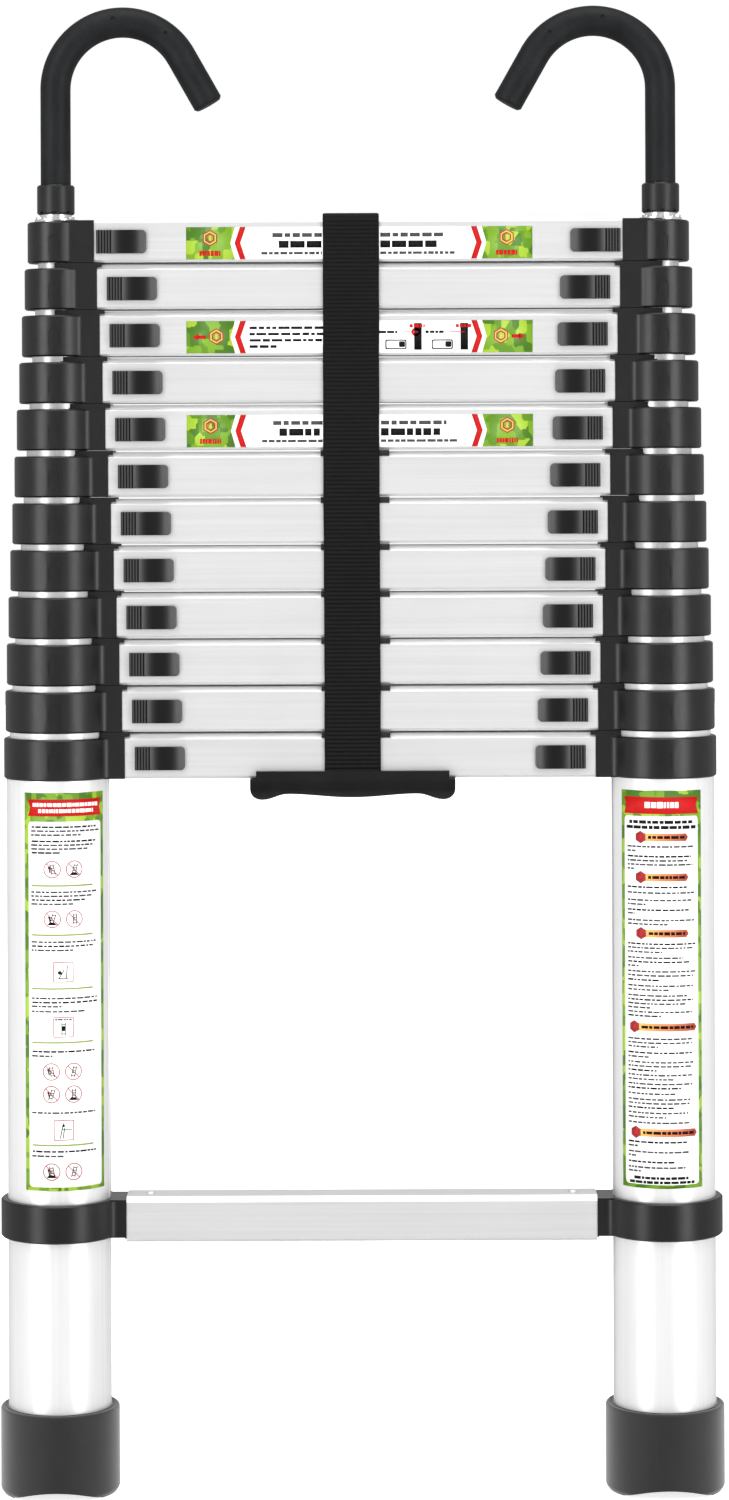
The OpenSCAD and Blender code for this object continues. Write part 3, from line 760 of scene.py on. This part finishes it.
def right_label():
    label = Label(on_tube(1, -7.0), LABEL_STRIP)
    ground(label, 16.8)
    label.dashes(-10.5, 12.0, -9.4, 4.2, PAPER, 2, 20, 2.6, 0.5)
    label.dashes(-22.0, 22.5, -20.6, 2.3, INK, 2, 21, 3.8, 0.7)
    label.dashes(-24.4, 24.6, -24.0, 2.3, INK, 2, 22, 3.6, 0.7)
    for v, u, end in ((30.5, -13.4, 18.6), (56.7, -13.4, 18.8), (93.4, -13.2, 18.8),
                      (154.7, -18.4, 24.6), (223.7, -17.6, 24.6)):
        heading(label, u, -v, end)
    rows = [(36.7, 23), (39.5, -17), (43.1, 21), (45.8, 18), (48.5, 22), (51.2, -17), (63.2, 18),
            (66.9, 23), (71.7, 21), (74.5, -10), (78.1, 19), (80.5, -18), (84.8, 23), (87.4, 5),
            (100.3, 24), (102.9, 23), (105.6, 1), (109.4, 15), (112.1, 20), (114.8, -15),
            (118.3, 24), (121.0, 22), (123.9, -1), (127.7, 22), (130.3, 5), (134.1, 19),
            (136.8, 22), (139.4, 17), (142.0, -6), (144.8, 21), (147.4, 0), (162.4, 21),
            (165.0, 21), (167.6, -2), (171.5, 21), (174.2, -8), (177.7, 22), (180.3, 21),
            (183.0, -3), (186.1, 21), (188.8, 9), (191.9, 22), (194.6, 13), (198.3, 9), (202, 20),
            (204.6, 19), (207.4, 8), (210.8, 18), (213.6, 3), (217.2, 20), (229.9, 17),
            (232.6, -16), (236.4, 19), (239.0, -17), (242.9, 9), (246.5, 16), (249.0, -14)]
    for n, (v, end) in enumerate(rows):
        label.dashes(-23.6, end, -v, 1.25, INK if n % 4 == 2 else GREY_INK, 2, 300 + n)
    label.dashes(-19.0, 18.0, -253.3, 1.9, INK, 2, 23, 3.4, 0.6)
    label.dashes(-22.6, 22.6, -256.1, 1.9, INK, 2, 24, 3.4, 0.6)
    label.done("tube_label_right", "base")


STICKER_LEFT, STICKER_RIGHT = -113.3, 114.5
STICKER_LOW, STICKER_HIGH = -13.1, 8.1
STICKER_RUNGS = (1, 3, 5)
BOXED_STICKER = 3
FIELD_EDGE, FIELD_TIP = 81.2, 84.2
CHEVRON_EDGE, CHEVRON_TIP, CHEVRON_W = 77.9, 81.4, 3.8
EMBLEM_R = 5.4


def on_rung(k):
    def place(u, v, lift):
        return u, -RUNG_HALF_D - lift, rung_z(k) + v
    return place


def emblem(label, u, v, size):
    """A plain double hexagon with an upright bar."""
    label.ring(u, v, size, size * 0.16, RING_INK, 3, 6, 30.0)
    label.ring(u, v, size * 0.84, size * 0.14, AMBER_INK, 3, 6, 30.0)
    label.ring(u, v, size * 0.62, size * 0.16, RING_INK, 3, 6, 30.0)
    label.bar(u - size * 0.13, u + size * 0.13, v, size * 0.6, AMBER_INK, 3)


def sticker_end(label, k, side, outer):
    """One end of a rung's label: the camouflaged field, its red chevron and what is on it."""
    low, high = STICKER_LOW, STICKER_HIGH
    mid = (low + high) / 2
    for a, b in ((low, mid), (mid, high)):
        at_a, at_b = (side * (FIELD_TIP if v == mid else FIELD_EDGE) for v in (a, b))
        label.shape(sorted_turn([(outer, a), (at_a, a), (at_b, b), (outer, b)]), CAMO, 1)
        in_a, in_b = (side * (CHEVRON_TIP if v == mid else CHEVRON_EDGE) for v in (a, b))
        label.shape(sorted_turn([(in_a - side * CHEVRON_W, a), (in_a, a), (in_b, b),
                                 (in_b - side * CHEVRON_W, b)]), RED_INK, 1)
    if k == BOXED_STICKER:
        emblem(label, side * 93.6, mid + 0.4, EMBLEM_R)
        label.bar(side * 100.6, side * 106.0, mid, 2.2, RED_INK, 2)
        label.shape(sorted_turn([(side * 105.6, mid - 2.3), (side * 109.4, mid),
                                 (side * 105.6, mid + 2.3)]), RED_INK, 2)
    else:
        centre = side * 97.6
        emblem(label, centre, high - 7.2, EMBLEM_R)
        label.dashes(centre - 7.0, centre + 7.0, low + 3.9, 3.6, RED_INK, 2, 40 + k, 1.9, 0.4)


def boxed_middle(label):
    """Lines on the left and two framed boxes with posts on the right."""
    low, high = STICKER_LOW, STICKER_HIGH
    mid = (low + high) / 2
    for n, end in enumerate((-8.0, -8.0, -8.0, -54.0)):
        label.dashes(-71.8, end, high - 4.6 - 4.1 * n, 1.9, INK, 1, 50 + n, 5.0, 1.1)
    for u in (17.5, 48.0):
        label.dashes(u - 4.0, u + 8.0, high - 7.6, 1.8, INK, 1, int(60 + u), 3.6, 0.6)
        label.rounded(u, u + 14.0, low + 2.2, low + 8.6, 1.0, INK, 1)
        label.rounded(u + 0.8, u + 13.2, low + 3.0, low + 7.8, 0.7, PAPER, 2)
        label.rounded(u + 9.0, u + 13.0, low + 3.6, low + 7.4, 0.7, INK, 3)
        label.bar(u + 19.0, u + 24.0, mid, 17.6, INK, 1)
        label.bar(u + 12.0, u + 22.0, high - 7.6, 0.5, RED_INK, 2)
        label.dashes(u + 16.0, u + 26.0, high - 3.6, 2.2, RED_INK, 2, int(90 + u), 3.0, 0.5)
    label.ring(37.6, high - 7.6, 2.9, 1.5, RED_INK, 1, 20)


def lined_middle(label, k):
    """Three lines of uneven bars, broken where the strap covers them."""
    for down, spans, tall, ink, seed, word, gap in (
            (5.4, ((-56.5, -24.0), (14.5, 57.6)), 2.9, GREY_INK, 5, 5.2, 1.3),
            (11.5, ((-52.4, -24.0), (14.5, 53.4)), 5.2, INK, 8, 7.0, 1.2),
            (17.3, ((-63.8, -24.0), (14.5, 64.5)), 1.9, GREY_INK, 11, 4.2, 0.9)):
        for u0, u1 in spans:
            label.dashes(u0, u1, STICKER_HIGH - down, tall, ink, 1, k + seed, word, gap)


def rung_sticker(k):
    label = Label(on_rung(k))
    label.shape([(STICKER_LEFT, STICKER_LOW), (STICKER_RIGHT, STICKER_LOW),
                 (STICKER_RIGHT, STICKER_HIGH), (STICKER_LEFT, STICKER_HIGH)], PAPER, 0)
    for side, outer in ((-1, STICKER_LEFT), (1, STICKER_RIGHT)):
        sticker_end(label, k, side, outer)
    if k == BOXED_STICKER:
        boxed_middle(label)
    else:
        lined_middle(label, k)
    label.done("rung_label_%02d" % k, section_body(k))


left_label()
right_label()
for k in STICKER_RUNGS:
    rung_sticker(k)

# ---- floor, light and camera ----


def make_floor():
    mesh = bmesh.new()
    bmesh.ops.create_circle(mesh, cap_ends=True, radius=9.0, segments=96)
    data = baked("floor", mesh)
    o = placed("floor", data)
    made, tree, shader = surface("floor_white", Roughness=0.7, Specular_IOR_Level=0.2)
    shader.inputs["Base Color"].default_value = (0.92, 0.92, 0.92, 1.0)
    shader.inputs["Emission Color"].default_value = (1.0, 1.0, 1.0, 1.0)
    shader.inputs["Emission Strength"].default_value = 0.75
    data.materials.append(made)
    o.visible_glossy = False


def area_light(name, place, target, width, height, power):
    data = bpy.data.lights.new(name, "AREA")
    data.shape = "RECTANGLE"
    data.size, data.size_y = width, height
    data.energy = power
    o = placed(name, data)
    o.location = place
    o.rotation_euler = (Vector(target) - Vector(place)).to_track_quat("-Z", "Y").to_euler()


def overhead_light(lean, spread, strength):
    """A wide soft light from far above, the same for a closed and a drawn-out ladder."""
    data = bpy.data.lights.new("overhead", "SUN")
    data.angle = math.radians(spread)
    data.energy = strength
    placed("overhead", data).rotation_euler = (math.radians(lean), 0.0, 0.0)


def make_world():
    """A grey room, brighter to the sides; the camera sees plain white."""
    world = bpy.data.worlds.new("room")
    bpy.context.scene.world = world
    world.use_nodes = True
    tree = world.node_tree
    seen = tree.nodes["Background"]
    place = node(tree, "ShaderNodeTexCoord")
    aside = math_node(tree, "ABSOLUTE", split_xyz(tree, place.outputs["Generated"])["X"], 0.0)
    shade = ramp(tree, aside, [(0.0, 0.34), (0.35, 0.36), (0.70, 0.50), (1.0, 0.62)])
    link(tree, shade, seen.inputs["Color"])
    white = node(tree, "ShaderNodeBackground", Strength=1.0)
    white.inputs["Color"].default_value = (1.0, 1.0, 1.0, 1.0)
    path = node(tree, "ShaderNodeLightPath")
    both = node(tree, "ShaderNodeMixShader")
    link(tree, path.outputs["Is Camera Ray"], both.inputs["Fac"])
    link(tree, seen.outputs["Background"], both.inputs[1])
    link(tree, white.outputs["Background"], both.inputs[2])
    link(tree, both.outputs["Shader"], tree.nodes["World Output"].inputs["Surface"])


make_floor()
make_world()
area_light("front", (0.0, -3.2, 1.1), (0.0, 0.0, 0.5), 1.6, 2.2, 2.5)
area_light("left", (-1.35, -1.4, 0.8), (-0.1, 0.0, 0.5), 0.75, 2.4, 25.0)
area_light("right", (1.35, -1.4, 0.8), (0.1, 0.0, 0.5), 0.75, 2.4, 25.0)
overhead_light(16.0, 60.0, 2.3)
area_light("back", (0.0, 2.6, 1.6), (0.0, 0.0, 0.5), 2.0, 2.0, 6.0)

bpy.context.scene.view_settings.view_transform = "Standard"

EYE_X = 0.0035
EYE_BACK = 2.6
EYE_Z = 0.6698
SEEN_TALL = 0.9925      # height of the frame at the rails' plane
SEEN_MID_Z = 0.4879     # height of the frame's middle there
EYE_ROLL = 0.22         # the ladder leans a little to the left in the view, in degrees

camera = bpy.data.cameras.new("camera")
camera.sensor_width = 36.0
camera.lens = camera.sensor_width * EYE_BACK / SEEN_TALL
camera.shift_y = (SEEN_MID_Z - EYE_Z) / SEEN_TALL
eye = placed("camera", camera)
eye.location = (EYE_X, -EYE_BACK, EYE_Z)
eye.rotation_euler = (math.radians(90.0), math.radians(EYE_ROLL), 0.0)
bpy.context.scene.camera = eye
